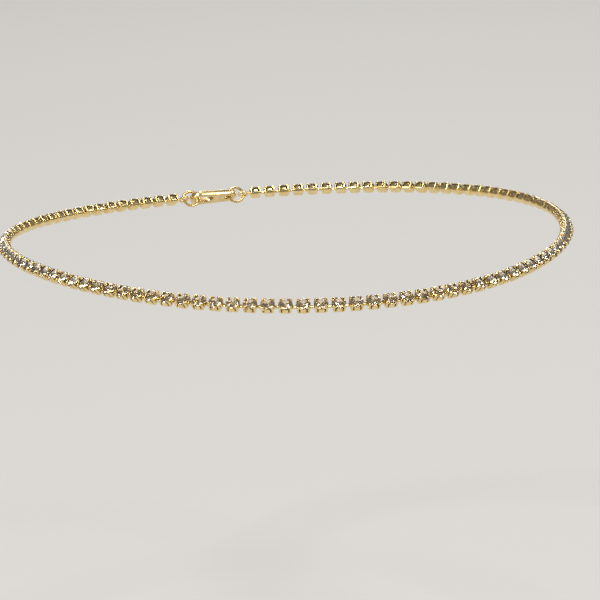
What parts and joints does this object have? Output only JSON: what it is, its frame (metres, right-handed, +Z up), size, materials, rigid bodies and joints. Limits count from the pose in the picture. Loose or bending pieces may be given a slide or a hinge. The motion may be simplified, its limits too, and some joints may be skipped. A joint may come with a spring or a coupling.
{
  "type": "choker necklace",
  "caption": "Single-row choker necklace of round faceted clear stones in square gold-tone claw cups joined by short links, with a plain clasp at the nape.",
  "frame": {"origin": "middle of the neck that the loop goes round, level with the mean height of the row of stones", "axes": "+Z up along the neck, the front of the necklace faces -Y and the clasp at the nape is at +Y, +X to the right of the front as it is seen"},
  "size_m": [0.1116, 0.1165, 0.0058],
  "materials": {
    "strand": "polished gold-tone cups with clear foiled stones",
    "gold_metal": "polished gold tone"
  },
  "bodies": {
    "root": {"strand_left": "strand", "strand_right": "strand", "ring_left": "gold_metal", "ring_right": "gold_metal", "clasp": "gold_metal"}
  },
  "joints": []
}
